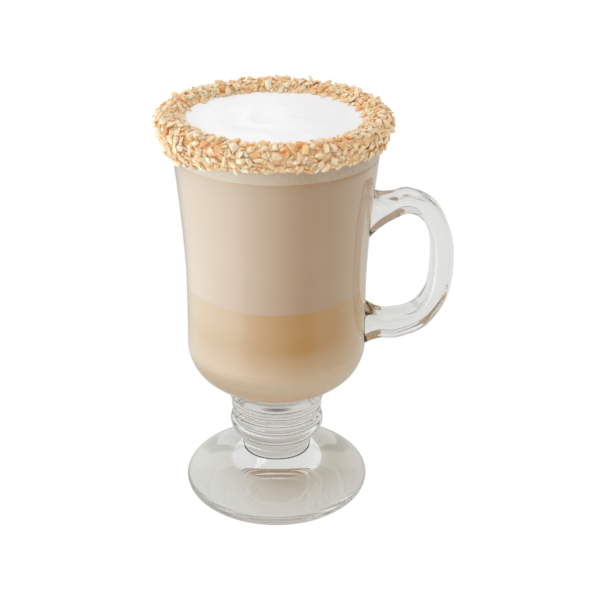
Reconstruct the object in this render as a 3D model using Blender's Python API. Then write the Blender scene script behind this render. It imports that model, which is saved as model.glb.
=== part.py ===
"""A footed glass mug of salted caramel latte, with milk foam and a rim of chopped roasted nuts.

Units are metres, +Z is up, and the origin is the middle of the foot's flat underside. The handle points along +X.
Pieces: glass_mug (foot, stem, bowl and handle in one), caramel_layer, latte_layer, milk_foam and nut_rim.
"""

import itertools
import math
import random

import bmesh
import bpy
from mathutils import Vector, noise

MM = 0.001

# Driving sizes of the glass
GLASS_HEIGHT = 150.0 * MM
FOOT_RADIUS = 36.5 * MM
RIM_RADIUS = 38.6 * MM
WAIST_RADIUS = 33.9 * MM
WALL_AT_RIM = 2.5 * MM
WALL_AT_WAIST = 3.1 * MM

# Heights where the outside changes form
FOOT_EDGE_HEIGHT = 3.8 * MM
FOOT_ROUND_BELOW = 1.5 * MM
FOOT_ROUND_ABOVE = 3.4 * MM
NECK_HEIGHT = 19.5 * MM
KNOP_HEIGHT = 27.4 * MM
GROOVE_HEIGHT = 32.3 * MM
COLLAR_HEIGHT = 38.5 * MM
BOWL_BOTTOM_HEIGHT = 45.2 * MM
BOWL_SHOULDER_HEIGHT = 62.0 * MM
WAIST_HEIGHT = 88.0 * MM

# Radii of the stem, whose neck is as wide above the collar as below the knop
NECK_RADIUS = 12.4 * MM
KNOP_RADIUS = 18.4 * MM
GROOVE_RADIUS = 17.0 * MM
COLLAR_RADIUS = 18.3 * MM

# Places along the outline of the glass: radius and height
FOOT_TOP = ((28.0 * MM, 6.2 * MM), (20.0 * MM, 10.4 * MM), (15.8 * MM, 13.8 * MM), (13.4 * MM, 16.6 * MM))
UNDER_BOWL = ((20.6 * MM, 45.8 * MM), (26.4 * MM, 49.0 * MM), (30.9 * MM, 53.0 * MM), (33.3 * MM, 57.4 * MM))

# The cavity's rounded floor: radius and rise above its middle
CAVITY_FLOOR = ((0.0, 0.0), (9.0 * MM, 0.5 * MM), (18.0 * MM, 2.3 * MM), (24.6 * MM, 5.2 * MM), (28.8 * MM, 9.0 * MM))

# Levels of the drink
CAVITY_BOTTOM_HEIGHT = 48.6 * MM
CARAMEL_LEVEL = 88.6 * MM
LATTE_LEVEL = 138.8 * MM
FOAM_LEVEL = 150.9 * MM
FOAM_EDGE_DROP = 3.8 * MM
FOAM_OPEN_RADIUS = 30.7 * MM
FOAM_SWIRL_HEIGHT = 0.35 * MM

# The crust of nuts over the rim, with the heights of its edges at the right, back, left and front
CRUST_TOPS = (154.2 * MM, 155.1 * MM, 154.6 * MM, 153.3 * MM)
SKIRT_BOTTOMS = (142.8 * MM, 141.5 * MM, 139.2 * MM, 144.0 * MM)
CRUST_OUTER_RADIUS = 41.7 * MM
CRUST_INNER_RADIUS = 31.4 * MM
CRUST_BUMP = 0.8 * MM
CRUST_BUMP_SPACING = 3.2 * MM
CRUST_OVERLAP = 1.0 * MM
CRUST_SEGMENTS = 54
CRUST_STAGGER = 0.3  # of a segment, so that no edge of the crust lies on an edge of the lip that is cut from it
NUTS_PER_ROW = 25
NUT_SIZES = (2.6 * MM, 4.2 * MM)
NUT_LIFT = 0.22
NUT_JITTER = 0.4
NUT_STRAY = 0.5 * MM

# Handle: where its outer and inner faces run in the plane of X and Z, from the upper joint to the lower one, in mm
HANDLE_STATIONS = (
    (33.4, 123.6, 33.0, 105.4),
    (38.0, 122.2, 37.4, 110.2),
    (42.8, 122.4, 41.8, 113.3),
    (48.9, 123.5, 48.2, 116.2),
    (58.6, 119.1, 53.4, 113.8),
    (64.7, 108.1, 57.1, 105.8),
    (66.3, 95.0, 58.1, 95.0),
    (64.5, 81.7, 57.0, 84.3),
    (57.3, 70.5, 52.1, 76.8),
    (46.8, 65.3, 44.6, 74.4),
    (39.2, 65.0, 38.8, 74.7),
    (33.0, 62.6, 33.0, 78.2),
)
HANDLE_WIDTH = 12.5 * MM
HANDLE_END_FLARE = 1.15
HANDLE_STEPS = 2
HANDLE_SIDES = 14
HANDLE_SQUARENESS = 5.0

GAP = 0.3 * MM
SEGMENTS = 48
MERGE_DISTANCE = 0.001 * MM
SMOOTH_ANGLE_DEG = 35
SEED = 7


def clear_scene():
    """Removes what the startup file holds."""
    for obj in list(bpy.data.objects):
        bpy.data.objects.remove(obj, do_unlink=True)


def material(name, colour, roughness, transmission=0.0):
    """A Principled material of that colour, clear where transmission is 1."""
    made = bpy.data.materials.new(name)
    made.use_nodes = True
    shader = made.node_tree.nodes["Principled BSDF"]
    shader.inputs["Base Color"].default_value = (*colour, 1.0)
    shader.inputs["Roughness"].default_value = roughness
    shader.inputs["Metallic"].default_value = 0.0
    shader.inputs["Transmission Weight"].default_value = transmission
    made.diffuse_color = (*colour, 1.0)
    return made


def smooth_curve(stations, steps):
    """A Catmull-Rom curve through the stations, which are tuples of any length, with steps points a span."""
    count = len(stations)
    points = []
    for i in range(count - 1):
        before = stations[max(i - 1, 0)]
        start, end = stations[i], stations[i + 1]
        after = stations[min(i + 2, count - 1)]
        for k in range(steps):
            t = k / steps
            points.append(
                tuple(
                    0.5 * (2 * b + (c - a) * t + (2 * a - 5 * b + 4 * c - d) * t**2 + (3 * b - a - 3 * c + d) * t**3)
                    for a, b, c, d in zip(before, start, end, after)
                )
            )
    points.append(tuple(stations[-1]))
    return points


def arc(centre, radii, start_deg, end_deg, steps):
    """Points on an ellipse round centre, in the plane of radius and height."""
    turns = [math.radians(start_deg + (end_deg - start_deg) * k / steps) for k in range(steps + 1)]
    return [(centre[0] + radii[0] * math.cos(a), centre[1] + radii[1] * math.sin(a)) for a in turns]


def bowl_outside(height):
    """Outer radius of the bowl above its shoulder: a waist that flares towards the rim and swells at the shoulder."""
    above = (height - WAIST_HEIGHT) / (GLASS_HEIGHT - WAIST_HEIGHT)
    if above > 0:
        return WAIST_RADIUS + (RIM_RADIUS - WAIST_RADIUS) * above**1.6
    below = (WAIST_HEIGHT - height) / (WAIST_HEIGHT - BOWL_SHOULDER_HEIGHT)
    return WAIST_RADIUS + 0.4 * MM * below**1.5


def wall(height):
    """Thickness of the bowl's wall, which thins towards the rim."""
    share = (height - BOWL_SHOULDER_HEIGHT) / (GLASS_HEIGHT - BOWL_SHOULDER_HEIGHT)
    return WALL_AT_WAIST + (WALL_AT_RIM - WALL_AT_WAIST) * min(max(share, 0.0), 1.0)


def bowl_inside(height):
    """Inner radius of the bowl above its shoulder."""
    return bowl_outside(height) - wall(height)


def heights(low, high, count):
    return [low + (high - low) * k / (count - 1) for k in range(count)]


def cavity_floor():
    """The rounded floor of the cavity, from its middle up to the shoulder."""
    floor = [(radius, CAVITY_BOTTOM_HEIGHT + rise) for radius, rise in CAVITY_FLOOR]
    return floor + [(bowl_inside(BOWL_SHOULDER_HEIGHT), BOWL_SHOULDER_HEIGHT + 1.5 * MM)]


def foot_profile():
    """The foot, from the middle of its flat underside round its edge and up to the neck."""
    underside = [(0.0, 0.0), (FOOT_RADIUS - 1.6 * MM, 0.0)]
    edge_middle = FOOT_EDGE_HEIGHT / 2
    below = arc((FOOT_RADIUS - FOOT_ROUND_BELOW, edge_middle), (FOOT_ROUND_BELOW, edge_middle), -50, 0, 1)
    above = arc((FOOT_RADIUS - FOOT_ROUND_ABOVE, edge_middle), (FOOT_ROUND_ABOVE, edge_middle), 0, 74, 3)
    return underside + below + above[1:] + list(FOOT_TOP) + [(NECK_RADIUS, NECK_HEIGHT)]


def stem_profile():
    """The stem's rings: the round knop, a groove, the collar, and the neck between collar and bowl."""
    knop_middle = GROOVE_RADIUS - 2.0 * MM
    knop = arc((knop_middle, KNOP_HEIGHT), (KNOP_RADIUS - knop_middle, 4.4 * MM), -75, 55, 5)
    groove = [(GROOVE_RADIUS, GROOVE_HEIGHT)]
    collar = [
        (COLLAR_RADIUS - 0.6 * MM, GROOVE_HEIGHT + 2.0 * MM),
        (COLLAR_RADIUS, COLLAR_HEIGHT - 0.2 * MM),
        (COLLAR_RADIUS - 1.5 * MM, COLLAR_HEIGHT + 0.9 * MM),
    ]
    neck = [(NECK_RADIUS, COLLAR_HEIGHT + 3.6 * MM), (NECK_RADIUS + 1.6 * MM, BOWL_BOTTOM_HEIGHT - 0.9 * MM)]
    return knop + groove + collar + neck


def bowl_profile():
    """The bowl, from its underside up the outside, over the lip and down to the middle of the cavity."""
    side_top = GLASS_HEIGHT - WALL_AT_RIM / 2
    outside = [(bowl_outside(z), z) for z in heights(BOWL_SHOULDER_HEIGHT, side_top, 7)]
    lip = arc((RIM_RADIUS - WALL_AT_RIM / 2, side_top), (WALL_AT_RIM / 2, WALL_AT_RIM / 2), 40, 140, 2)
    floor = cavity_floor()
    inside = [(bowl_inside(z), z) for z in heights(floor[-1][1], side_top, 6)[1:]]
    return list(UNDER_BOWL) + outside + lip + inside[::-1] + floor[::-1]


def glass_profile():
    """Half outline of the whole glass, from the middle of the underside round to the middle of the cavity."""
    return foot_profile() + stem_profile() + bowl_profile()


def add_shape(name, shape, material_used):
    """An object of the closed bmesh shape, with its faces turned outwards and shaded smooth."""
    bmesh.ops.recalc_face_normals(shape, faces=shape.faces)
    mesh = bpy.data.meshes.new(name)
    shape.to_mesh(mesh)
    shape.free()
    obj = bpy.data.objects.new(name, mesh)
    bpy.context.scene.collection.objects.link(obj)
    if material_used:
        mesh.materials.append(material_used)
    mesh.shade_smooth()
    mesh.set_sharp_from_angle(angle=math.radians(SMOOTH_ANGLE_DEG))
    return obj


def bridge(shape, rings):
    """Faces between each ring of vertices and the next."""
    for near, far in zip(rings, rings[1:]):
        for k in range(len(near)):
            following = (k + 1) % len(near)
            shape.faces.new((near[k], near[following], far[following], far[k]))


def revolve(name, profile, material_used):
    """A solid of revolution about Z, of a half outline that starts and ends on the axis."""
    shape = bmesh.new()
    points = [shape.verts.new((radius, 0.0, height)) for radius, height in profile]
    edges = [shape.edges.new(pair) for pair in zip(points, points[1:])]
    bmesh.ops.spin(
        shape,
        geom=points + edges,
        axis=(0, 0, 1),
        cent=(0, 0, 0),
        angle=2 * math.pi,
        steps=SEGMENTS,
        use_merge=True,
    )
    bmesh.ops.remove_doubles(shape, verts=shape.verts, dist=MERGE_DISTANCE)
    return add_shape(name, shape, material_used)


def section_point(station, width, turn):
    """A point of the strap's rounded section between the outer and inner faces that the station gives."""
    outer = Vector((station[0], 0.0, station[1])) * MM
    inner = Vector((station[2], 0.0, station[3])) * MM
    power = 2 / HANDLE_SQUARENESS
    along = math.copysign(abs(math.cos(turn)) ** power, math.cos(turn))
    across = math.copysign(abs(math.sin(turn)) ** power, math.sin(turn))
    return (outer + inner) / 2 + (outer - inner) / 2 * along + Vector((0.0, width / 2 * across, 0.0))


def out_of_the_cavity(point):
    """The point, moved out along X to the middle of the bowl's wall if it lies further in than that."""
    radius = bowl_outside(point.z) - wall(point.z) / 2
    return Vector((max(point.x, math.sqrt(radius**2 - point.y**2)), point.y, point.z))


def handle_strap():
    """The swept strap, a guide that the glass takes up with a Boolean union."""
    line = smooth_curve(HANDLE_STATIONS, HANDLE_STEPS)
    shape = bmesh.new()
    rings = []
    for i, station in enumerate(line):
        steps_from_end = min(i, len(line) - 1 - i)
        flare = 1 + (HANDLE_END_FLARE - 1) * max(0.0, 1 - steps_from_end / (2 * HANDLE_STEPS))
        turns = [2 * math.pi * (k + 0.5) / HANDLE_SIDES for k in range(HANDLE_SIDES)]
        ring = [section_point(station, HANDLE_WIDTH * flare, turn) for turn in turns]
        rings.append([shape.verts.new(out_of_the_cavity(point)) for point in ring])
    bridge(shape, rings)
    shape.faces.new(rings[0])
    shape.faces.new(rings[-1])
    bmesh.ops.triangulate(shape, faces=[face for face in shape.faces if len(face.verts) > 4])
    strap = add_shape("handle_strap", shape, None)
    strap.hide_render = True
    strap.display_type = "WIRE"
    return strap


def make_glass():
    clear_glass = material("clear_glass", (0.93, 0.95, 0.94), 0.02, transmission=1.0)
    glass = revolve("glass_mug", glass_profile(), clear_glass)
    join = glass.modifiers.new("handle", "BOOLEAN")
    join.operation = "UNION"
    join.solver = "EXACT"
    join.object = handle_strap()
    return glass


def inside_wall(low, high, count):
    """Points up the inside of the wall, a gap clear of it."""
    return [(bowl_inside(z) - GAP, z) for z in heights(low, high, count)]


def make_caramel():
    """The caramel layer, which fills the rounded floor of the bowl."""
    bottom = [(max(radius - GAP, 0.0), height + GAP) for radius, height in cavity_floor()]
    side = inside_wall(bottom[-1][1], CARAMEL_LEVEL, 3)[1:]
    profile = bottom + side + [(0.0, CARAMEL_LEVEL)]
    return revolve("caramel_layer", profile, material("caramel_latte", (0.62, 0.42, 0.22), 0.4))


def make_latte():
    """The pale milk coffee above the caramel."""
    low = CARAMEL_LEVEL + GAP
    profile = [(0.0, low)] + inside_wall(low, LATTE_LEVEL, 4) + [(0.0, LATTE_LEVEL)]
    return revolve("latte_layer", profile, material("milk_coffee", (0.66, 0.51, 0.38), 0.4))


def foam_top(radius):
    """Height of the foam: level, with one low swirl, and falling away under the nuts at the edge."""
    share = radius / FOAM_OPEN_RADIUS
    if share >= 1:
        return FOAM_LEVEL - FOAM_EDGE_DROP
    swirl = FOAM_SWIRL_HEIGHT * math.cos(2 * math.pi * share) * (1 - share)
    fall = 0.45 * MM * max(0.0, (share - 0.8) / 0.2) ** 2
    return FOAM_LEVEL + swirl - fall


def make_foam():
    """The white milk foam, whose cream edge shows through the glass under the nuts."""
    low = LATTE_LEVEL + GAP
    edge = FOAM_LEVEL - FOAM_EDGE_DROP
    side = inside_wall(low, edge, 2)
    top = [(FOAM_OPEN_RADIUS * k / 5, foam_top(FOAM_OPEN_RADIUS * k / 5 * 0.999)) for k in range(5, 0, -1)]
    profile = [(0.0, low)] + side + [(FOAM_OPEN_RADIUS + 0.3 * MM, edge)] + top + [(0.0, foam_top(0.0))]
    return revolve("milk_foam", profile, material("milk_foam", (0.93, 0.92, 0.90), 0.6))


def round_the_rim(sides, turn):
    """The value at that turn between those given for the right, back, left and front."""
    place = turn / (math.pi / 2) % len(sides)
    first = int(place)
    blend = 0.5 - 0.5 * math.cos(math.pi * (place - first))
    return sides[first] + (sides[(first + 1) % len(sides)] - sides[first]) * blend


def crust_section(turn):
    """The crust's closed section at that turn, as radius, height and the share of bump that the point takes."""
    bottom = round_the_rim(SKIRT_BOTTOMS, turn)
    top = round_the_rim(CRUST_TOPS, turn)
    in_foam = FOAM_LEVEL - FOAM_EDGE_DROP - CRUST_OVERLAP
    return [
        (bowl_outside(bottom) - CRUST_OVERLAP, bottom, 0.0),
        (bowl_outside(bottom) + 0.9 * MM, bottom - 0.2 * MM, 0.5),
        (CRUST_OUTER_RADIUS - 2.2 * MM, bottom + 2.4 * MM, 1.0),
        (CRUST_OUTER_RADIUS - 0.7 * MM, (bottom + top) / 2 + 0.5 * MM, 1.0),
        (CRUST_OUTER_RADIUS, top - 3.0 * MM, 1.0),
        (CRUST_OUTER_RADIUS - 1.6 * MM, top - 0.7 * MM, 1.0),
        (RIM_RADIUS - 0.4 * MM, top, 1.0),
        (RIM_RADIUS - 4.0 * MM, top - 0.8 * MM, 1.0),
        (CRUST_INNER_RADIUS + 0.4 * MM, FOAM_LEVEL + 0.6 * MM, 0.6),
        (CRUST_INNER_RADIUS, in_foam, 0.0),
        (bowl_inside(GLASS_HEIGHT), in_foam, 0.0),
        (RIM_RADIUS - WALL_AT_RIM / 2, GLASS_HEIGHT - CRUST_OVERLAP, 0.0),
    ]


def crust_core(material_used):
    """The caramel crust itself, with bumps of a nut's size all over its open side."""
    shape = bmesh.new()
    middle = Vector((RIM_RADIUS - WALL_AT_RIM / 2, GLASS_HEIGHT - 3.0 * MM))
    rings = []
    for k in range(CRUST_SEGMENTS):
        turn = 2 * math.pi * (k + CRUST_STAGGER) / CRUST_SEGMENTS
        ring = []
        for radius, height, share in crust_section(turn):
            spot = Vector((radius * math.cos(turn), radius * math.sin(turn), height))
            bump = CRUST_BUMP * share * noise.noise(spot / CRUST_BUMP_SPACING)
            away = (Vector((radius, height)) - middle).normalized() * bump
            reach = radius + away.x
            ring.append(shape.verts.new((reach * math.cos(turn), reach * math.sin(turn), height + away.y)))
        rings.append(ring)
    bridge(shape, rings + rings[:1])
    return add_shape("nut_rim", shape, material_used)


def nut_piece(name, size, draw):
    """One chopped piece of nut: the hull of eight jittered corners, longer than it is thick."""
    shape = bmesh.new()
    stretch = Vector((draw.uniform(0.9, 1.15), draw.uniform(0.65, 0.9), draw.uniform(0.5, 0.75)))
    for corner in itertools.product((-1, 1), repeat=3):
        jitter = Vector([draw.uniform(-NUT_JITTER, NUT_JITTER) for _ in range(3)])
        shape.verts.new((Vector(corner) + jitter) * stretch * size / 3)
    bmesh.ops.convex_hull(shape, input=shape.verts)
    mesh = bpy.data.meshes.new(name)
    shape.to_mesh(mesh)
    shape.free()
    return bpy.data.objects.new(name, mesh)


def nut_seats(turn):
    """Where nuts sit on the crust at that turn: radius, height and the way out, from the skirt over to the foam."""
    bottom = round_the_rim(SKIRT_BOTTOMS, turn)
    top = round_the_rim(CRUST_TOPS, turn)
    span = top - bottom
    return [
        (CRUST_OUTER_RADIUS - 2.4 * MM, bottom + 0.16 * span, Vector((1.0, -0.2))),
        (CRUST_OUTER_RADIUS - 1.3 * MM, bottom + 0.48 * span, Vector((1.0, 0.0))),
        (CRUST_OUTER_RADIUS - 0.6 * MM, bottom + 0.80 * span, Vector((0.9, 0.45))),
        (RIM_RADIUS + 0.6 * MM, top - 0.4 * MM, Vector((0.2, 1.0))),
        (RIM_RADIUS - 3.2 * MM, top - 0.9 * MM, Vector((-0.3, 1.0))),
        (CRUST_INNER_RADIUS + 1.6 * MM, FOAM_LEVEL + 0.9 * MM, Vector((-0.5, 0.8))),
    ]


def scatter_nuts(draw):
    """A collection of nut pieces in staggered rows round the crust, each turned its own way."""
    pieces = bpy.data.collections.new("nut_pieces")
    bpy.context.scene.collection.children.link(pieces)
    for row in range(len(nut_seats(0.0))):
        stagger = 0.5 * (row % 2)
        for k in range(NUTS_PER_ROW):
            turn = 2 * math.pi * (k + stagger + draw.uniform(-0.25, 0.25)) / NUTS_PER_ROW
            radius, height, way = nut_seats(turn)[row]
            size = draw.uniform(*NUT_SIZES)
            piece = nut_piece(f"nut_{row}_{k}", size, draw)
            spot = Vector((radius, height)) + way * size * NUT_LIFT * draw.uniform(0.2, 1.0)
            up = spot.y + draw.uniform(-NUT_STRAY, NUT_STRAY)
            piece.location = (spot.x * math.cos(turn), spot.x * math.sin(turn), up)
            piece.rotation_euler = [draw.uniform(-0.6, 0.6), draw.uniform(-0.6, 0.6), draw.uniform(0, math.tau)]
            pieces.objects.link(piece)
    return pieces


def apply_modifiers(obj):
    """Fixes the object's mesh as its modifiers leave it."""
    graph = bpy.context.evaluated_depsgraph_get()
    graph.update()
    mesh = bpy.data.meshes.new_from_object(obj.evaluated_get(graph))
    obj.modifiers.clear()
    obj.data = mesh


def drop_scraps(obj):
    """Keeps the largest closed shell of the mesh, so that no loose scrap or sealed hollow stays."""
    shape = bmesh.new()
    shape.from_mesh(obj.data)
    left = set(shape.verts)
    shells = []
    while left:
        front = [left.pop()]
        shell = list(front)
        while front:
            for edge in front.pop().link_edges:
                for vert in edge.verts:
                    if vert in left:
                        left.discard(vert)
                        front.append(vert)
                        shell.append(vert)
        shells.append(shell)
    shells.sort(key=len)
    for shell in shells[:-1]:
        bmesh.ops.delete(shape, geom=shell, context="VERTS")
    shape.to_mesh(obj.data)
    shape.free()


def lip_cutter():
    """The space that the lip and the foam need, a gap larger than they are."""
    low = min(SKIRT_BOTTOMS) - 4.0 * MM
    lip_side = GLASS_HEIGHT - WALL_AT_RIM / 2
    under_edge = FOAM_LEVEL - FOAM_EDGE_DROP + GAP
    foam_edge = FOAM_OPEN_RADIUS + 2 * GAP
    profile = [(0.0, low)]
    profile += [(bowl_outside(z) + GAP, z) for z in heights(low, lip_side, 3)]
    profile += [
        (RIM_RADIUS - WALL_AT_RIM * 0.2, GLASS_HEIGHT + GAP),
        (RIM_RADIUS - WALL_AT_RIM * 0.8, GLASS_HEIGHT + GAP),
        (bowl_inside(lip_side) - GAP, lip_side),
        (bowl_inside(under_edge) - GAP, under_edge),
        (foam_edge, under_edge),
        (foam_edge, FOAM_LEVEL),
        (foam_edge - GAP, FOAM_LEVEL + 2 * GAP),
        (0.0, FOAM_LEVEL + 2 * GAP + FOAM_SWIRL_HEIGHT),
    ]
    return revolve("lip_space", profile, None)


def make_nut_rim():
    """Crust and nuts fused into one piece, kept a gap clear of the lip and the foam."""
    draw = random.Random(SEED)
    noise.seed_set(SEED)
    rim = crust_core(material("nut_crust", (0.80, 0.58, 0.34), 0.55))
    pieces = scatter_nuts(draw)
    join = rim.modifiers.new("nuts", "BOOLEAN")
    join.operation = "UNION"
    join.solver = "MANIFOLD"
    join.operand_type = "COLLECTION"
    join.collection = pieces
    apply_modifiers(rim)
    for piece in list(pieces.objects):
        bpy.data.objects.remove(piece, do_unlink=True)
    bpy.data.collections.remove(pieces)
    cutter = lip_cutter()
    cut = rim.modifiers.new("lip", "BOOLEAN")
    cut.operation = "DIFFERENCE"
    cut.solver = "MANIFOLD"
    cut.object = cutter
    apply_modifiers(rim)
    bpy.data.objects.remove(cutter, do_unlink=True)
    drop_scraps(rim)
    return rim


def main():
    clear_scene()
    make_glass()
    make_caramel()
    make_latte()
    make_foam()
    make_nut_rim()


main()
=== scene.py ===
"""The looks of a salted caramel latte in a footed glass mug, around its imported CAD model.

Every piece replaces a CAD node in place: the same driving sizes, with fine curves, chopped nuts and
materials. Metres, +Z up, the foot's underside at the origin and the handle along +X.
"""

import math
import random

import bmesh
import bpy
import numpy as np
from mathutils import Matrix, Vector, noise


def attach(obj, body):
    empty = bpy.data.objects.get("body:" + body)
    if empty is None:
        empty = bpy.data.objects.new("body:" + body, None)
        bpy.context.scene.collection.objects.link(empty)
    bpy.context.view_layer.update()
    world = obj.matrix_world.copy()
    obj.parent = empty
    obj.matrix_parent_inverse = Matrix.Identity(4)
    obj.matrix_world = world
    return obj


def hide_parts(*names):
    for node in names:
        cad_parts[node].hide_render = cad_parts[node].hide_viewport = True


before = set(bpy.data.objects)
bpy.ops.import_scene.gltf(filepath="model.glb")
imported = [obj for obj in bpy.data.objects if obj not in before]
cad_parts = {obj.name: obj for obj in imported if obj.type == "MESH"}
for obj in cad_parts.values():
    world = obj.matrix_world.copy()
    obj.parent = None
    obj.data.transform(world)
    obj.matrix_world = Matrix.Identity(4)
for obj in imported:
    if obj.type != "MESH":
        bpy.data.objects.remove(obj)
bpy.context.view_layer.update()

MM = 0.001
SEED = 11

# Sides of every round mesh
SEGMENTS = 288

# Driving sizes of the glass, as the CAD has them
GLASS_HEIGHT = 150.0 * MM
FOOT_RADIUS = 36.5 * MM
RIM_RADIUS = 38.6 * MM
WAIST_RADIUS = 33.9 * MM
WALL_AT_RIM = 2.5 * MM
WALL_AT_WAIST = 3.1 * MM
FOOT_EDGE_HEIGHT = 3.8 * MM
FOOT_ROUND_BELOW = 1.5 * MM
FOOT_ROUND_ABOVE = 3.4 * MM
NECK_HEIGHT = 19.5 * MM
KNOP_HEIGHT = 27.4 * MM
GROOVE_HEIGHT = 32.3 * MM
COLLAR_HEIGHT = 38.5 * MM
BOWL_BOTTOM_HEIGHT = 45.2 * MM
BOWL_SHOULDER_HEIGHT = 62.0 * MM
WAIST_HEIGHT = 88.0 * MM
NECK_RADIUS = 12.4 * MM
KNOP_RADIUS = 18.4 * MM
GROOVE_RADIUS = 17.0 * MM
COLLAR_RADIUS = 18.3 * MM
CAVITY_BOTTOM_HEIGHT = 48.6 * MM

# The dome under the foot, and the flat ring round it that the glass stands on
FOOT_HOLLOW_RADIUS = 33.0 * MM
FOOT_HOLLOW_DEPTH = 2.6 * MM
FOOT_RING_WIDTH = 1.0 * MM

# The knop's section: part of an ellipse, whose middle lies this far inside the groove
KNOP_CORE_DEPTH = 2.0 * MM
KNOP_HALF_HEIGHT = 4.4 * MM

# Fine points of the glass's outline, each as a distance out and a height up in mm. The rings count from the
# groove's and the collar's radius and height, and the neck's points from its radius and the height of the
# neck, the collar or the bowl. The others count from the axis and the lowest height of their part.
FOOT_TOP = ((28.0, 6.2), (20.0, 10.4), (15.8, 13.8), (13.4, 16.6))
NECK_START = ((0.0, 0.0), (0.9, 2.0))
GROOVE_RING = ((0.0, 0.0), (0.45, 1.2), (0.95, 2.1), (0.50, 3.0))
COLLAR_RING = ((-0.80, -1.9), (-0.40, -1.0), (0.10, -0.2), (-0.30, 0.55), (-1.60, 0.9))
NECK_ABOVE_COLLAR = ((2.0, 1.9), (0.0, 3.9))
NECK_BELOW_BOWL = ((1.6, -0.9),)
BOWL_UNDERSIDE = ((16.4, -0.1), (20.6, 0.6), (26.4, 3.8), (30.9, 7.8), (33.3, 12.2))
CAVITY_FLOOR = ((-9.0, 0.5), (0.0, 0.0), (9.0, 0.5), (18.0, 2.3), (24.6, 5.2), (28.8, 9.0))

# Handle: its outer and inner faces in the plane of X and Z, from the upper joint to the lower one, in mm
HANDLE_STATIONS = (
    (33.4, 123.6, 33.0, 105.4),
    (38.0, 122.2, 37.4, 110.2),
    (42.8, 122.4, 41.8, 113.3),
    (48.9, 123.5, 48.2, 116.2),
    (58.6, 119.1, 53.4, 113.8),
    (64.7, 108.1, 57.1, 105.8),
    (66.3, 95.0, 58.1, 95.0),
    (64.5, 81.7, 57.0, 84.3),
    (57.3, 70.5, 52.1, 76.8),
    (46.8, 65.3, 44.6, 74.4),
    (39.2, 65.0, 38.8, 74.7),
    (33.0, 62.6, 33.0, 78.2),
)
HANDLE_WIDTH = 12.5 * MM
HANDLE_END_FLARE = 1.15
HANDLE_SQUARENESS = 5.0
HANDLE_STEPS = 16
HANDLE_SIDES = 96

# Levels of the drink, and how far it reaches into the wall so that no air shows between them
CARAMEL_LEVEL = 88.6 * MM
LATTE_LEVEL = 138.8 * MM
FOAM_LEVEL = 150.9 * MM
INTO_WALL = 0.15 * MM

# The foam: its edge under the nuts, the spiral on its top, and the size and height of its unevenness
FOAM_EDGE_DROP = 3.8 * MM
FOAM_OPEN_RADIUS = 30.7 * MM
FOAM_TOP_RADIUS = FOAM_OPEN_RADIUS + 1.9 * MM
FOAM_STEP_RADIUS = FOAM_OPEN_RADIUS + 2.2 * MM
FOAM_RINGS = 60
FOAM_LIP_START = 0.9
FOAM_LIP_HEIGHT = 0.5 * MM
FOAM_SLOW = (14.0 * MM, 0.25 * MM)
FOAM_FINE = (3.5 * MM, 0.05 * MM)
FOAM_FINE_SHIFT = 40.0
SWIRL_MIDDLE = Vector((2.0, 8.5, 0.0)) * MM
SWIRL_PITCH = 17.0 * MM
SWIRL_DEPTH = 0.55 * MM
SWIRL_START = 1.2
SWIRL_BEND_SIZE = 12.0 * MM
SWIRL_BEND = 3.0
SWIRL_PEAK_RADIUS = 6.5 * MM
SWIRL_FADE = 0.75

# The crust of nuts, with its heights and radii at the right, back, left and front
CRUST_TOPS = (154.2 * MM, 155.1 * MM, 154.6 * MM, 153.3 * MM)
SKIRT_BOTTOMS = (142.8 * MM, 141.5 * MM, 139.2 * MM, 144.0 * MM)
CRUST_OUTER_RADII = (41.5 * MM, 41.7 * MM, 42.7 * MM, 41.6 * MM)
CRUST_INNER_RADII = (30.6 * MM, 31.2 * MM, 32.2 * MM, 31.4 * MM)

# The crust's mesh: points round it and across it, and the size and height of its coarse and fine bumps
CRUST_AROUND = 540
CRUST_ACROSS = 64
CRUST_COARSE = (1.8 * MM, 0.35 * MM)
CRUST_FINE = (0.7 * MM, 0.12 * MM)

# How far the crust reaches into glass and foam, and how far its middle lies below the nuts' places
CRUST_OVERLAP = 0.1 * MM
NUT_CLEARANCE = 0.60 * MM

# The nuts: shapes to choose from, and the layers of joined pieces. A layer gives its name, its kind of shape,
# how many pieces it has at most, their spacing, their smallest and largest size, their lift and their tilt.
CHIP_SHAPES = 28
CHIP_CORNERS = (7, 8, 9, 10)
CHIP_WEAR = 0.07
CHIP_SINK = 0.35 * MM
CRUMB_SHAPES = 12
CRUMB_CORNERS = 7
NUT_LAYERS = (
    ("nut_chips", "chip", 800, 2.5 * MM, (4.2 * MM, 6.6 * MM), 0.06, 0.35),
    ("nut_bits", "chip", 750, 1.8 * MM, (2.4 * MM, 3.8 * MM), 0.06, 0.6),
    ("nut_crumbs", "crumb", 400, 1.2 * MM, (0.8 * MM, 1.5 * MM), 0.2, 1.0),
)

# Colours as linear red, green and blue, and colour ramps as rows of positions and colours.
# A span is the two places on the object between which one colour gives way to another.
WHITE = (1.0, 1.0, 1.0)
GLASS_COLOUR = (0.965, 0.965, 0.96, 1.0)
GLASS_DENSITY = 26.0
GLASS_TINT = (0.86, 0.855, 0.84, 1.0)
LATTE_CLOUDS = ((0.3, (0.685, 0.480, 0.300)), (0.7, (0.71, 0.50, 0.32)))
# Painted light: the latte pales towards its right edge, where light falls from behind on the right.
LATTE_RIGHT_PAINTED_LIGHT = (0.88, 0.68, 0.48)
LATTE_RIGHT_PAINTED_LIGHT_SPAN = (18.0 * MM, 33.0 * MM)
CREMA = (0.70, 0.44, 0.23)
CREMA_SPAN = (LATTE_LEVEL - 2.4 * MM, LATTE_LEVEL + 1.2 * MM)
CREMA_WOBBLE = 1.2 * MM
CREMA_RAMP = ((0.0, (0, 0, 0)), (0.35, (0.25, 0.25, 0.25)), (0.6, (1, 1, 1)), (1.0, (1, 1, 1)))
# The caramel's colour from left to right, with painted shade that deepens it near the middle and painted
# light that pales it towards the right edge.
CARAMEL_LIGHT_AND_SHADE_SPAN = (-34.0 * MM, 34.0 * MM)
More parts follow.
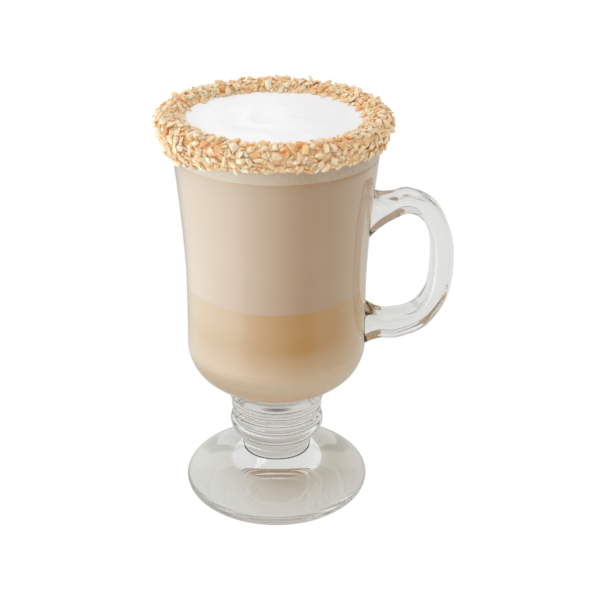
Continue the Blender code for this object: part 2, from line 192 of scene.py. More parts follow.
CARAMEL_LIGHT_AND_SHADE_ACROSS = (
    (0.10, (0.67, 0.425, 0.16)),
    (0.26, (0.72, 0.455, 0.18)),
    (0.42, (0.715, 0.40, 0.11)),
    (0.64, (0.76, 0.43, 0.145)),
    (0.80, (0.79, 0.49, 0.21)),
    (0.96, (0.91, 0.68, 0.40)),
)
CARAMEL_CLOUDS = ((0.35, (0.95, 0.92, 0.85)), (0.65, WHITE))
CARAMEL_LOW = (0.91, 0.72, 0.50)
CARAMEL_LOW_SPAN = (74.0 * MM, 60.0 * MM)
CARAMEL_LOWEST = (0.81, 0.51, 0.29)
CARAMEL_LOWEST_SPAN = (57.0 * MM, 50.0 * MM)
FOAM_SIDE_COLOURS = ((0.1, (0.73, 0.55, 0.38)), (0.6, (0.84, 0.67, 0.48)))
# Painted light and shade on the foam's top: paler on the swirl's crests and its mound, darker in its grooves.
FOAM_TOP_SWIRL_LIGHT_AND_SHADE = ((0.0, (0.905, 0.912, 0.928)), (0.6, (0.95, 0.955, 0.965)))
FOAM_TOP_SPAN = (FOAM_LEVEL - FOAM_EDGE_DROP + 0.4 * MM, FOAM_LEVEL - 1.0 * MM)
# Painted shade: the foam's top darkens towards the right.
FOAM_RIGHT_PAINTED_SHADE = (0.87, 0.87, 0.88)
FOAM_RIGHT_PAINTED_SHADE_SPAN = (-2.0 * MM, 20.0 * MM)
PASTE_COLOURS = ((0.3, (0.93, 0.46, 0.14)), (0.5, (0.96, 0.61, 0.30)), (0.7, (0.97, 0.74, 0.47)))
NUT_MOTTLE = ((0.3, (0.96, 0.94, 0.90)), (0.7, WHITE))
CREAM = (0.99, 0.765, 0.50)
PALE = (0.99, 0.84, 0.63)
TAN = (0.98, 0.68, 0.38)
ORANGE = (0.90, 0.50, 0.22)
SKIN = (0.34, 0.10, 0.03)
# Toasted, glazed brown with painted shade, laid on the chips' undersides towards the crust.
TOAST_AND_SHADE = (1.0, 0.51, 0.17)

# How often each nut colour comes up, how much a chip may pale, and how its toasted brown and painted shade
# deepen inwards
NUT_COLOURS = (CREAM, PALE, TAN, ORANGE, SKIN)
NUT_WEIGHTS = (54, 22, 18, 5, 0.6)
NUT_PALING = 0.06
TOAST_AND_SHADE_AT_MIDDLE = 0.42
TOAST_AND_SHADE_DEPTH = 1.8
TOAST_AND_SHADE_SPREAD = (-0.35, 0.15)

# The camera, fitted to the ellipses of the foot, the caramel and the foam in the photograph
CAMERA_DISTANCE = 391.01 * MM
CAMERA_HEIGHT = 269.99 * MM
CAMERA_PITCH = 0.454
CAMERA_YAW = 0.0229
CAMERA_ROLL = 0.0083
CAMERA_LENS = 68.26

# The pale floor, and the table's grey at each distance in metres from SHADE_CENTRE
SWEEP_REACH = 3.0
FLOOR_DROP = 0.05 * MM
FLAT_FLOOR = ((0.0, -FLOOR_DROP), (SWEEP_REACH, -FLOOR_DROP))
TABLE_GLOW = 0.66
TABLE_SHADE = (
    (0.010, (0.50, 0.46, 0.375)),
    (0.020, (0.58, 0.555, 0.50)),
    (0.032, (0.66, 0.65, 0.605)),
    (0.042, (0.71, 0.71, 0.67)),
    (0.200, (0.80, 0.80, 0.785)),
)
SHADE_CENTRE = (0.012, 0.004, 0.0)

# The low panels further out, which show in the glass: a large one on the left, which fades away from
# SIDE_WAY and ends in front over EDGE_SPAN, and a weak one on the right. SIDE_REACH is how far out they
# start and where they are at full glow.
SIDE_WAY = (-0.866, -0.5, 0.0)
SIDE_GLOW = 4.5
SIDE_FALLOFF = 1.6
SIDE_WRAP = 0.05
SIDE_TINT = (0.90, 1.0, 1.0, 1.0)
SIDE_REACH = (0.075, 0.21)
EDGE_GLOW = 0.75
EDGE_SPAN = (-0.84, -0.72)
RIGHT_GLOW = 0.35
RIGHT_SPAN = (0.64, 0.78)
ROOM_GLOW = 0.8

# The pale room, with a dark band low on its walls that gives the glass its edges
FRONT_GLOW = 0.70
BACK_GLOW = 0.85
LEFT_GLOW = 0.35
LEFT_SPAN = (-0.2, -1.0)
BAND_LOW = (0.02, 0.06)
BAND_HIGH = (0.16, 0.24)
BAND_DEPTH = 0.9

# The soft lights, as name, place, size and power
LIGHT_TARGET = (0.0, 0.0, 0.09)
LIGHTS = (
    ("key_left", (-0.80, -0.60, 0.95), (0.6, 0.4), 2.2),
    ("top_light", (-0.20, -0.10, 1.40), (0.9, 0.9), 1.9),
)
BOUNCES = 24


# Outlines


def smooth_curve(stations, steps):
    """A Catmull-Rom curve through the stations, which are tuples of any length, with steps points a span."""
    count = len(stations)
    points = []
    for i in range(count - 1):
        nearby = (stations[max(i - 1, 0)], stations[i], stations[i + 1], stations[min(i + 2, count - 1)])
        for k in range(steps):
            points.append(tuple(curve_value(*values, k / steps) for values in zip(*nearby)))
    points.append(tuple(stations[-1]))
    return points


def curve_value(before, start, end, after, t):
    """One coordinate of a Catmull-Rom curve, at the share t of the way from start to end."""
    square = 2 * before - 5 * start + 4 * end - after
    cube = 3 * start - before - 3 * end + after
    return 0.5 * (2 * start + (end - before) * t + square * t**2 + cube * t**3)


def arc(centre, radii, start_deg, end_deg, steps):
    """Points on an ellipse round centre, in the plane of radius and height."""
    turns = [math.radians(start_deg + (end_deg - start_deg) * k / steps) for k in range(steps + 1)]
    return [(centre[0] + radii[0] * math.cos(a), centre[1] + radii[1] * math.sin(a)) for a in turns]


def points_from(radius, height, offsets):
    """The points at those offsets, in mm, from one radius and height."""
    return [(radius + out * MM, height + up * MM) for out, up in offsets]


def evenly(low, high, count):
    """That many numbers from low to high."""
    return [low + (high - low) * k / (count - 1) for k in range(count)]


def bowl_outside(height):
    """Outer radius of the bowl above its shoulder: a waist that widens to the rim and to the shoulder."""
    above = (height - WAIST_HEIGHT) / (GLASS_HEIGHT - WAIST_HEIGHT)
    if above > 0:
        return WAIST_RADIUS + (RIM_RADIUS - WAIST_RADIUS) * above**1.6
    below = (WAIST_HEIGHT - height) / (WAIST_HEIGHT - BOWL_SHOULDER_HEIGHT)
    return WAIST_RADIUS + 0.4 * MM * below**1.5


def wall(height):
    """Thickness of the bowl's wall, which thins towards the rim."""
    share = (height - BOWL_SHOULDER_HEIGHT) / (GLASS_HEIGHT - BOWL_SHOULDER_HEIGHT)
    return WALL_AT_WAIST + (WALL_AT_RIM - WALL_AT_WAIST) * min(max(share, 0.0), 1.0)


def bowl_inside(height):
    """Inner radius of the bowl above its shoulder."""
    return bowl_outside(height) - wall(height)


def cavity_floor():
    """The rounded floor of the cavity, from its middle up to the shoulder."""
    stations = points_from(0.0, CAVITY_BOTTOM_HEIGHT, CAVITY_FLOOR)
    stations.append((bowl_inside(BOWL_SHOULDER_HEIGHT), BOWL_SHOULDER_HEIGHT + 1.5 * MM))
    stations.append((bowl_inside(BOWL_SHOULDER_HEIGHT + 7.0 * MM), BOWL_SHOULDER_HEIGHT + 7.0 * MM))
    steps = 12
    return smooth_curve(stations, steps)[steps:-steps]


def foot_hollow():
    """The shallow dome under the foot, from its middle out to the ring that the glass stands on."""
    turns = evenly(0.0, math.pi, 25)
    dome = [(FOOT_HOLLOW_RADIUS * a / math.pi, FOOT_HOLLOW_DEPTH * (0.5 + 0.5 * math.cos(a))) for a in turns]
    return dome + [(FOOT_HOLLOW_RADIUS + FOOT_RING_WIDTH, 0.0)]


def foot_outside():
    """The foot's rounded edge and the cone of its upper side, up into the neck."""
    middle = FOOT_EDGE_HEIGHT / 2
    below = arc((FOOT_RADIUS - FOOT_ROUND_BELOW, middle), (FOOT_ROUND_BELOW, middle), -80, 0, 14)
    above = arc((FOOT_RADIUS - FOOT_ROUND_ABOVE, middle), (FOOT_ROUND_ABOVE, middle + 0.1 * MM), 0, 74, 24)
    neck = points_from(NECK_RADIUS, NECK_HEIGHT, NECK_START)
    cone = smooth_curve(above[-1:] + points_from(0.0, 0.0, FOOT_TOP) + neck, 8)
    return below + above[1:] + cone[1:]


def stem_outside():
    """The stem's round knop, the groove and collar above it, and the neck up to the bowl."""
    core = GROOVE_RADIUS - KNOP_CORE_DEPTH
    knop = arc((core, KNOP_HEIGHT), (KNOP_RADIUS - core, KNOP_HALF_HEIGHT), -80, 55, 18)
    rings = points_from(GROOVE_RADIUS, GROOVE_HEIGHT, GROOVE_RING)
    rings += points_from(COLLAR_RADIUS, COLLAR_HEIGHT, COLLAR_RING)
    rings += points_from(NECK_RADIUS, COLLAR_HEIGHT, NECK_ABOVE_COLLAR)
    rings += points_from(NECK_RADIUS, BOWL_BOTTOM_HEIGHT, NECK_BELOW_BOWL)
    return knop + smooth_curve(knop[-1:] + rings, 6)[1:]


def bowl_underside():
    """The bowl's rounded underside, from the neck out to the shoulder."""
    steps = 6
    stations = points_from(NECK_RADIUS, BOWL_BOTTOM_HEIGHT, NECK_BELOW_BOWL)
    stations += points_from(0.0, BOWL_BOTTOM_HEIGHT, BOWL_UNDERSIDE)
    for height in (BOWL_SHOULDER_HEIGHT, BOWL_SHOULDER_HEIGHT + 6.0 * MM):
        stations.append((bowl_outside(height), height))
    return smooth_curve(stations, steps)[1:-steps]


def glass_profile():
    """Half outline of foot, stem and bowl, from the middle of the underside to the middle of the cavity."""
    lip_radius = WALL_AT_RIM / 2
    lip_height = GLASS_HEIGHT - lip_radius
    outside = [(bowl_outside(z), z) for z in evenly(BOWL_SHOULDER_HEIGHT, lip_height, 40)[1:]]
    lip = arc((RIM_RADIUS - lip_radius, lip_height), (lip_radius, lip_radius), 15, 165, 10)
    floor = cavity_floor()
    inside = [(bowl_inside(z), z) for z in evenly(floor[-1][1], lip_height, 40)[1:]]
    outer = foot_hollow() + foot_outside() + stem_outside() + bowl_underside() + outside
    return outer + lip + inside[::-1] + floor[::-1]


# Meshes and pieces


def mesh_of(name, shape):
    """The mesh of a finished shape, with its faces turned outwards."""
    bmesh.ops.recalc_face_normals(shape, faces=shape.faces)
    mesh = bpy.data.meshes.new(name)
    shape.to_mesh(mesh)
    shape.free()
    return mesh


def bridge(shape, near, far):
    """Quads between two closed rings of as many points."""
    for k in range(len(near)):
        following = (k + 1) % len(near)
        shape.faces.new((near[k], near[following], far[following], far[k]))


def revolved_mesh(name, profile):
    """A mesh of revolution about Z, which is closed if its half outline starts and ends on the axis."""
    shape = bmesh.new()
    points = [shape.verts.new((max(radius, 0.0), 0.0, height)) for radius, height in profile]
    edges = [shape.edges.new(pair) for pair in zip(points, points[1:])]
    bmesh.ops.spin(
        shape,
        geom=points + edges,
        axis=(0, 0, 1),
        cent=(0, 0, 0),
        angle=2 * math.pi,
        steps=SEGMENTS,
        use_merge=True,
    )
    bmesh.ops.remove_doubles(shape, verts=shape.verts, dist=0.001 * MM)
    mesh = mesh_of(name, shape)
    mesh.shade_smooth()
    return mesh


def mesh_object(name, mesh, material, body="root"):
    """An object of that mesh and material, in the scene and riding on the body."""
    obj = bpy.data.objects.new(name, mesh)
    bpy.context.scene.collection.objects.link(obj)
    mesh.materials.append(material)
    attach(obj, body)
    return obj


def applied(obj):
    """Fixes the object's mesh as its modifiers leave it."""
    graph = bpy.context.evaluated_depsgraph_get()
    graph.update()
    mesh = bpy.data.meshes.new_from_object(obj.evaluated_get(graph))
    obj.modifiers.clear()
    obj.data = mesh


def uneven(place, relief, shift=0.0):
    """How far a surface rises at that place. Relief is its bumps' size and height, and shift moves them."""
    size, height = relief
    return noise.noise(place / size + Vector((shift, 0.0, 0.0))) * height


# Shader nodes


def material_of(name):
    """A new node material, its node tree and its Principled shader."""
    material = bpy.data.materials.new(name)
    material.use_nodes = True
    tree = material.node_tree
    return material, tree, tree.nodes["Principled BSDF"]


def add_node(tree, kind, **settings):
    """A node of that kind, with its properties and its named input values set."""
    node = tree.nodes.new(kind)
    for name, value in settings.items():
        if hasattr(node, name):
            setattr(node, name, value)
        else:
            node.inputs[name.replace("_", " ")].default_value = value
    return node


def object_place(tree):
    """The place on the object, in its own metres."""
    return add_node(tree, "ShaderNodeTexCoord").outputs["Object"]


def noise_of(tree, scale, detail=2.0, roughness=0.5, stretch=None):
    """A noise texture over the object's own coordinates, with scale in waves a metre."""
    place = object_place(tree)
    if stretch:
        mapping = add_node(tree, "ShaderNodeMapping")
        mapping.inputs["Scale"].default_value = stretch
        tree.links.new(place, mapping.inputs["Vector"])
        place = mapping.outputs["Vector"]
    texture = add_node(tree, "ShaderNodeTexNoise", Scale=scale, Detail=detail, Roughness=roughness)
    tree.links.new(place, texture.inputs["Vector"])
    return texture.outputs["Fac"]


def ramp_of(tree, value, stops):
    """A colour ramp over the value, from (position, colour) stops."""
    ramp = add_node(tree, "ShaderNodeValToRGB")
    elements = ramp.color_ramp.elements
    while len(elements) > 1:
        elements.remove(elements[-1])
    elements[0].position = stops[0][0]
    elements[0].color = (*stops[0][1], 1.0)
    for position, colour in stops[1:]:
        elements.new(position).color = (*colour, 1.0)
    tree.links.new(value, ramp.inputs["Fac"])
    return ramp.outputs["Color"]


def span_of(tree, value, low, high):
    """The value as a share of the way from low to high, clamped."""
    node = add_node(tree, "ShaderNodeMapRange")
    node.inputs["From Min"].default_value = low
    node.inputs["From Max"].default_value = high
    tree.links.new(value, node.inputs["Value"])
    return node.outputs["Result"]


def scaled_span(tree, value, low, high, start, end):
    """The value's way from low to high turned into a smooth way from start to end."""
    node = add_node(tree, "ShaderNodeMapRange", interpolation_type="SMOOTHSTEP")
    for name, number in (("From Min", low), ("From Max", high), ("To Min", start), ("To Max", end)):
        node.inputs[name].default_value = number
    tree.links.new(value, node.inputs["Value"])
    return node.outputs["Result"]


def mix_of(tree, share, first, second, blend="MIX"):
    """A colour mix, where first and second are sockets or plain colours. Its colour sockets go by number."""
    node = add_node(tree, "ShaderNodeMix", data_type="RGBA", blend_type=blend)
    for index, value in ((6, first), (7, second)):
        if isinstance(value, tuple):
            node.inputs[index].default_value = (*value, 1.0)
        else:
            tree.links.new(value, node.inputs[index])
    if isinstance(share, float):
        node.inputs[0].default_value = share
    else:
        tree.links.new(share, node.inputs[0])
    return node.outputs[2]


def maths_of(tree, operation, first, second):
    """The result of one operation, where first and second are sockets or numbers."""
    node = add_node(tree, "ShaderNodeMath", operation=operation)
    for index, value in enumerate((first, second)):
        if isinstance(value, float):
            node.inputs[index].default_value = value
        else:
            tree.links.new(value, node.inputs[index])
    return node.outputs[0]


def vector_maths_of(tree, operation, vector, second=None):
    """The node of one vector operation, where second is a plain vector."""
    node = add_node(tree, "ShaderNodeVectorMath", operation=operation)
    tree.links.new(vector, node.inputs[0])
    if second:
        node.inputs[1].default_value = second
    return node


def parts_of(tree, vector):
    """The outputs X, Y and Z of a vector."""
    split = add_node(tree, "ShaderNodeSeparateXYZ")
    tree.links.new(vector, split.inputs[0])
    return split.outputs


def axis_of(tree, axis):
    """One coordinate of the place on the object."""
    return parts_of(tree, object_place(tree))[axis]


def bump_with(tree, shader, height, strength, distance):
    """Gives the shader a bump from that height."""
    bump = add_node(tree, "ShaderNodeBump")
    bump.inputs["Strength"].default_value = strength
    bump.inputs["Distance"].default_value = distance
    tree.links.new(height, bump.inputs["Height"])
    tree.links.new(bump.outputs["Normal"], shader.inputs["Normal"])


# Materials


def glass_material():
    """Clear pressed glass with the faint waviness of a mould."""
    material, tree, shader = material_of("clear_glass_look")
    shader.inputs["Base Color"].default_value = GLASS_COLOUR
    shader.inputs["Roughness"].default_value = 0.0
    shader.inputs["IOR"].default_value = 1.5
    shader.inputs["Transmission Weight"].default_value = 1.0
    bump_with(tree, shader, noise_of(tree, 40.0, detail=1.0), 0.1, 0.05 * MM)
    absorb = add_node(tree, "ShaderNodeVolumeAbsorption", Density=GLASS_DENSITY)
    absorb.inputs["Color"].default_value = GLASS_TINT
    tree.links.new(absorb.outputs["Volume"], tree.nodes["Material Output"].inputs["Volume"])
    return material


def drink_material(name):
    """A new material for drink that lies against glass, which takes most of the gloss away."""
    material, tree, shader = material_of(name)
    shader.inputs["Roughness"].default_value = 0.6
    shader.inputs["Specular IOR Level"].default_value = 0.05
    return material, tree, shader


def latte_material():
    """Milk coffee behind glass, paler towards its right edge by painted light, with the thin brown line of
    crema at its top.
    """
    material, tree, shader = drink_material("milk_coffee_look")
    coffee = ramp_of(tree, noise_of(tree, 28.0, detail=3.0, stretch=(1.0, 1.0, 2.2)), LATTE_CLOUDS)
    # Painted light that pales the latte towards its right edge.
    right = span_of(tree, axis_of(tree, "X"), *LATTE_RIGHT_PAINTED_LIGHT_SPAN)
    coffee = mix_of(tree, right, coffee, LATTE_RIGHT_PAINTED_LIGHT)
    wobble = maths_of(tree, "MULTIPLY", noise_of(tree, 55.0), CREMA_WOBBLE)
    height = maths_of(tree, "ADD", axis_of(tree, "Z"), wobble)
    line = ramp_of(tree, span_of(tree, height, *CREMA_SPAN), CREMA_RAMP)
    tree.links.new(mix_of(tree, line, coffee, CREMA), shader.inputs["Base Color"])
    return material


def caramel_material():
    """Golden caramel and coffee, with painted light and shade across it from left to right, darker in slow
    clouds and paler towards the bottom.
    """
    material, tree, shader = drink_material("caramel_latte_look")
    # Painted light and shade across the caramel from left to right.
    across = ramp_of(tree, span_of(tree, axis_of(tree, "X"), *CARAMEL_LIGHT_AND_SHADE_SPAN), CARAMEL_LIGHT_AND_SHADE_ACROSS)
    cloudy = noise_of(tree, 34.0, detail=3.0, roughness=0.45, stretch=(1.0, 1.0, 2.4))
    gold = mix_of(tree, 1.0, across, ramp_of(tree, cloudy, CARAMEL_CLOUDS), blend="MULTIPLY")
    low = span_of(tree, axis_of(tree, "Z"), *CARAMEL_LOW_SPAN)
    pale = mix_of(tree, low, gold, CARAMEL_LOW)
    lowest = span_of(tree, axis_of(tree, "Z"), *CARAMEL_LOWEST_SPAN)
    tree.links.new(mix_of(tree, lowest, pale, CARAMEL_LOWEST), shader.inputs["Base Color"])
    return material


def foam_material():
    """White milk foam on top, with painted light on the swirl's crests, painted shade in its grooves and
    towards the right, and cream with fine bubbles where its side shows through the glass.
    """
    material, tree, shader = material_of("milk_foam_look")
    bubbles = add_node(tree, "ShaderNodeTexVoronoi", Scale=1500.0)
    tree.links.new(object_place(tree), bubbles.inputs["Vector"])
    side = ramp_of(tree, bubbles.outputs["Distance"], FOAM_SIDE_COLOURS)
    # The swirl's crests pick painted light, and its grooves painted shade.
    crest = add_node(tree, "ShaderNodeAttribute", attribute_name="crest").outputs["Fac"]
    top = ramp_of(tree, span_of(tree, crest, -1.0, 1.0), FOAM_TOP_SWIRL_LIGHT_AND_SHADE)
    # Painted shade that darkens the foam's top towards the right.
    right = span_of(tree, axis_of(tree, "X"), *FOAM_RIGHT_PAINTED_SHADE_SPAN)
    top = mix_of(tree, right, top, FOAM_RIGHT_PAINTED_SHADE)
    on_top = span_of(tree, axis_of(tree, "Z"), *FOAM_TOP_SPAN)
    tree.links.new(mix_of(tree, on_top, side, top), shader.inputs["Base Color"])
    shader.inputs["Roughness"].default_value = 0.55
    shader.inputs["Specular IOR Level"].default_value = 0.2
    bump_with(tree, shader, noise_of(tree, 900.0), 0.12, 0.1 * MM)
    return material


def light_sinks_in(shader, weight, radius, scale):
    """Lets light travel that far under the surface."""
    shader.inputs["Subsurface Weight"].default_value = weight
    shader.inputs["Subsurface Radius"].default_value = radius
    shader.inputs["Subsurface Scale"].default_value = scale


def crust_material():
    """The caramel and nut paste between the nuts, from cream to orange-brown in small patches."""
    material, tree, shader = material_of("nut_crust_look")
    patches = noise_of(tree, 420.0, detail=4.0, roughness=0.6)
    tree.links.new(ramp_of(tree, patches, PASTE_COLOURS), shader.inputs["Base Color"])
    shader.inputs["Roughness"].default_value = 0.4
    light_sinks_in(shader, 0.5, (1.0, 0.7, 0.45), 1.8 * MM)
    bump_with(tree, shader, noise_of(tree, 1400.0, detail=3.0), 0.5, 0.25 * MM)
    return material


def nut_material(name):
    """Broken roasted nut, in the colour that each chip carries, with a fine grain."""
    material, tree, shader = material_of(name)
    chip = add_node(tree, "ShaderNodeAttribute", attribute_name="chip_colour").outputs["Color"]
    mottle = ramp_of(tree, noise_of(tree, 1500.0, detail=3.0), NUT_MOTTLE)
    tree.links.new(mix_of(tree, 1.0, chip, mottle, blend="MULTIPLY"), shader.inputs["Base Color"])
    shader.inputs["Roughness"].default_value = 0.45
    light_sinks_in(shader, 0.8, (1.0, 0.92, 0.85), 1.6 * MM)
    bump_with(tree, shader, noise_of(tree, 1300.0), 0.15, 0.10 * MM)
    return material


# Glass


def section_point(station, width, turn):
    """A point of the strap's rounded section between the outer and inner faces that the station gives."""
    outer = Vector((station[0], 0.0, station[1])) * MM
    inner = Vector((station[2], 0.0, station[3])) * MM
    power = 2 / HANDLE_SQUARENESS
    along = math.copysign(abs(math.cos(turn)) ** power, math.cos(turn))
    across = math.copysign(abs(math.sin(turn)) ** power, math.sin(turn))
    return (outer + inner) / 2 + (outer - inner) / 2 * along + Vector((0.0, width / 2 * across, 0.0))


def out_of_the_cavity(point):
    """The point, moved out along X to the middle of the bowl's wall if it lies further in than that."""
    radius = bowl_outside(point.z) - wall(point.z) / 2
    return Vector((max(point.x, math.sqrt(radius**2 - point.y**2)), point.y, point.z))


def handle_mesh():
    """The swept strap as a closed mesh."""
    line = smooth_curve(HANDLE_STATIONS, HANDLE_STEPS)
    turns = [2 * math.pi * (k + 0.5) / HANDLE_SIDES for k in range(HANDLE_SIDES)]
    shape = bmesh.new()
    rings = []
    for i, station in enumerate(line):
        from_end = min(i, len(line) - 1 - i)
        flare = 1 + (HANDLE_END_FLARE - 1) * max(0.0, 1 - from_end / (2 * HANDLE_STEPS)) ** 1.5
        ring = [section_point(station, HANDLE_WIDTH * flare, turn) for turn in turns]
        rings.append([shape.verts.new(out_of_the_cavity(point)) for point in ring])
    for near, far in zip(rings, rings[1:]):
        bridge(shape, near, far)
    ends = [shape.faces.new(rings[0]), shape.faces.new(rings[-1])]
    bmesh.ops.triangulate(shape, faces=ends)
    return mesh_of("handle_strap", shape)


def make_glass():
    """The whole mug in one clear body, so that light passes from bowl to handle inside the glass."""
    glass = mesh_object("glass_body", revolved_mesh("glass_body", glass_profile()), glass_material())
    strap = bpy.data.objects.new("handle_strap", handle_mesh())
    bpy.context.scene.collection.objects.link(strap)
    join = glass.modifiers.new("handle", "BOOLEAN")
    join.operation = "UNION"
    join.solver = "EXACT"
    join.object = strap
    applied(glass)
    bpy.data.objects.remove(strap, do_unlink=True)
    glass.data.shade_smooth()
    glass.data.set_sharp_from_angle(angle=math.radians(28))
    glass.visible_shadow = False
    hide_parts("glass_mug")


# Drink


def into_wall(low, high, count):
    """The side of the drink between two heights, reaching just into the wall."""
    return [(bowl_inside(z) + INTO_WALL, z) for z in evenly(low, high, count)]


def make_caramel():
    """The lower layer, from the cavity's floor up to its boundary."""
    floor = [(radius + INTO_WALL * (radius > 0), height - INTO_WALL) for radius, height in cavity_floor()]
    profile = floor + into_wall(floor[-1][1], CARAMEL_LEVEL, 16)[1:] + [(0.0, CARAMEL_LEVEL)]
    caramel = mesh_object("caramel_coffee", revolved_mesh("caramel_coffee", profile), caramel_material())
    caramel.data.set_sharp_from_angle(angle=math.radians(60))
    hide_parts("caramel_layer")


def make_latte():
    """The milk coffee between the caramel and the foam."""
    profile = [(0.0, CARAMEL_LEVEL)] + into_wall(CARAMEL_LEVEL, LATTE_LEVEL, 30) + [(0.0, LATTE_LEVEL)]
    latte = mesh_object("milk_coffee", revolved_mesh("milk_coffee", profile), latte_material())
    latte.data.set_sharp_from_angle(angle=math.radians(60))
    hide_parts("latte_layer")


def swirl(place):
    """The foam's spiral at that place, from -1 in its grooves to 1 on its crests, calm at the edge."""
    from_middle = place - SWIRL_MIDDLE
    away = from_middle.length
    turn = math.atan2(from_middle.y, from_middle.x)
    bend = noise.noise(place / SWIRL_BEND_SIZE) * SWIRL_BEND
    wave = math.cos(2 * math.pi * away / SWIRL_PITCH - turn - SWIRL_START + bend)
    peak = math.exp(-((away / SWIRL_PEAK_RADIUS) ** 2))
    share = place.length / FOAM_OPEN_RADIUS
    fade = SWIRL_FADE * (1 - min(share, 1.0) ** 2)
    return peak + (1 - peak) * wave * fade


def foam_height(radius, turn):
    """The foam's surface: a slow spiral swirl, fine unevenness and a raised edge against the nuts."""
    place = Vector((radius * math.cos(turn), radius * math.sin(turn), 0.0))
    rough = uneven(place, FOAM_SLOW) + uneven(place, FOAM_FINE, FOAM_FINE_SHIFT)
    at_lip = max(0.0, (radius / FOAM_OPEN_RADIUS - FOAM_LIP_START) / (1 - FOAM_LIP_START))
    return FOAM_LEVEL + swirl(place) * SWIRL_DEPTH + rough + FOAM_LIP_HEIGHT * at_lip


def foam_mesh():
    """The foam's level bottom, its side and its swirled top as rings, closed at both middles."""
    under_nuts = FOAM_LEVEL - FOAM_EDGE_DROP
    turns = [2 * math.pi * k / SEGMENTS for k in range(SEGMENTS)]
    level_rings = into_wall(LATTE_LEVEL, under_nuts, 10) + [(FOAM_STEP_RADIUS, under_nuts)]
    rings = [(radius, [height] * SEGMENTS) for radius, height in level_rings]
    for k in range(FOAM_RINGS, 0, -1):
        radius = FOAM_TOP_RADIUS * k / FOAM_RINGS
        rings.append((radius, [foam_height(radius, turn) for turn in turns]))
    shape = bmesh.new()
    loops = []
    for radius, ring in rings:
        places = [(radius * math.cos(turn), radius * math.sin(turn), z) for turn, z in zip(turns, ring)]
        loops.append([shape.verts.new(place) for place in places])
    for lower, upper in zip(loops, loops[1:]):
        bridge(shape, lower, upper)
    bottom = shape.verts.new((0.0, 0.0, LATTE_LEVEL))
    top = shape.verts.new((0.0, 0.0, foam_height(0.0, 0.0)))
    for k in range(SEGMENTS):
        following = (k + 1) % SEGMENTS
        shape.faces.new((loops[0][following], loops[0][k], bottom))
        shape.faces.new((loops[-1][k], loops[-1][following], top))
    return mesh_of("foam_top", shape)


def make_foam():
    """The foam down to the coffee, which carries its crests as numbers for the material's painted light and
    shade.
    """
    mesh = foam_mesh()
    mesh.shade_smooth()
    mesh.set_sharp_from_angle(angle=math.radians(50))
    crests = mesh.attributes.new("crest", "FLOAT", "POINT")
    crests.data.foreach_set("value", [swirl(Vector((vert.co.x, vert.co.y, 0.0))) for vert in mesh.vertices])
    foam = mesh_object("foam_top", mesh, foam_material())
    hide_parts("milk_foam")


# Nuts


def round_the_rim(sides, turn):
    """The value at that turn between those given for the right, back, left and front."""
    place = turn / (math.pi / 2) % len(sides)
    first = int(place)
    blend = 0.5 - 0.5 * math.cos(math.pi * (place - first))
    return sides[first] + (sides[(first + 1) % len(sides)] - sides[first]) * blend


def crust_outline(turn):
    """The crust's open side at that turn, from the skirt's lower edge over the top to the foam."""
    bottom = round_the_rim(SKIRT_BOTTOMS, turn)
    top = round_the_rim(CRUST_TOPS, turn)
    outer = round_the_rim(CRUST_OUTER_RADII, turn)
    inner = round_the_rim(CRUST_INNER_RADII, turn)
    return [
        (bowl_outside(bottom) + 0.3 * MM, bottom),
        (bowl_outside(bottom) + 0.9 * MM, bottom + 0.3 * MM),
        (outer - 2.2 * MM, bottom + 2.4 * MM),
        (outer - 0.7 * MM, (bottom + top) / 2 + 0.5 * MM),
        (outer, top - 3.0 * MM),
        (outer - 1.6 * MM, top - 0.7 * MM),
        (RIM_RADIUS - 0.4 * MM, top),
        (RIM_RADIUS - 4.0 * MM, top - 0.8 * MM),
        (inner + 0.4 * MM, FOAM_LEVEL + 0.6 * MM),
        (inner - 0.2 * MM, FOAM_LEVEL - 0.6 * MM),
    ]


def crust_underside(turn):
    """The crust's hidden side at that turn, from the foam through the lip to the skirt's lower edge."""
    bottom = round_the_rim(SKIRT_BOTTOMS, turn)
    foam_edge = FOAM_LEVEL - FOAM_EDGE_DROP - CRUST_OVERLAP
    shoulder = GLASS_HEIGHT - 2.0 * MM
    return [
        (FOAM_OPEN_RADIUS + 0.9 * MM, foam_edge),
        (bowl_inside(GLASS_HEIGHT) + CRUST_OVERLAP, foam_edge),
        (RIM_RADIUS - WALL_AT_RIM / 2, GLASS_HEIGHT - CRUST_OVERLAP),
        (bowl_outside(shoulder) - CRUST_OVERLAP, shoulder),
        (bowl_outside(bottom) - CRUST_OVERLAP, bottom),
    ]


def crust_spot(turn, share):
    """The place and the way out on the crust at that turn, share of the way from skirt to foam."""
    outline = crust_outline(turn)
    steps = [math.dist(a, b) for a, b in zip(outline, outline[1:])]
    left = share * sum(steps)
    for (start, end), step in zip(zip(outline, outline[1:]), steps):
        if left <= step:
            break
        left -= step
    blend = min(left / step, 1.0)
    radius = start[0] + (end[0] - start[0]) * blend
    height = start[1] + (end[1] - start[1]) * blend
    run = Vector((end[0] - start[0], end[1] - start[1])).normalized()
    out = Vector((run.y, -run.x))
    place = Vector((radius * math.cos(turn), radius * math.sin(turn), height))
    way = Vector((out.x * math.cos(turn), out.x * math.sin(turn), out.y))
    return place, way


def crust_ring(turn):
    """The points of the crust's section at that turn: bumpy where it is open, plain underneath."""
    ring = []
    for k in range(CRUST_ACROSS + 1):
        place, way = crust_spot(turn, k / CRUST_ACROSS)
        rise = uneven(place, CRUST_COARSE) + uneven(place, CRUST_FINE)
        sunk = NUT_CLEARANCE * math.sin(math.pi * k / CRUST_ACROSS) ** 0.5
        ring.append(place + way * (rise - sunk))
    for radius, height in crust_underside(turn):
        ring.append(Vector((radius * math.cos(turn), radius * math.sin(turn), height)))
    return ring


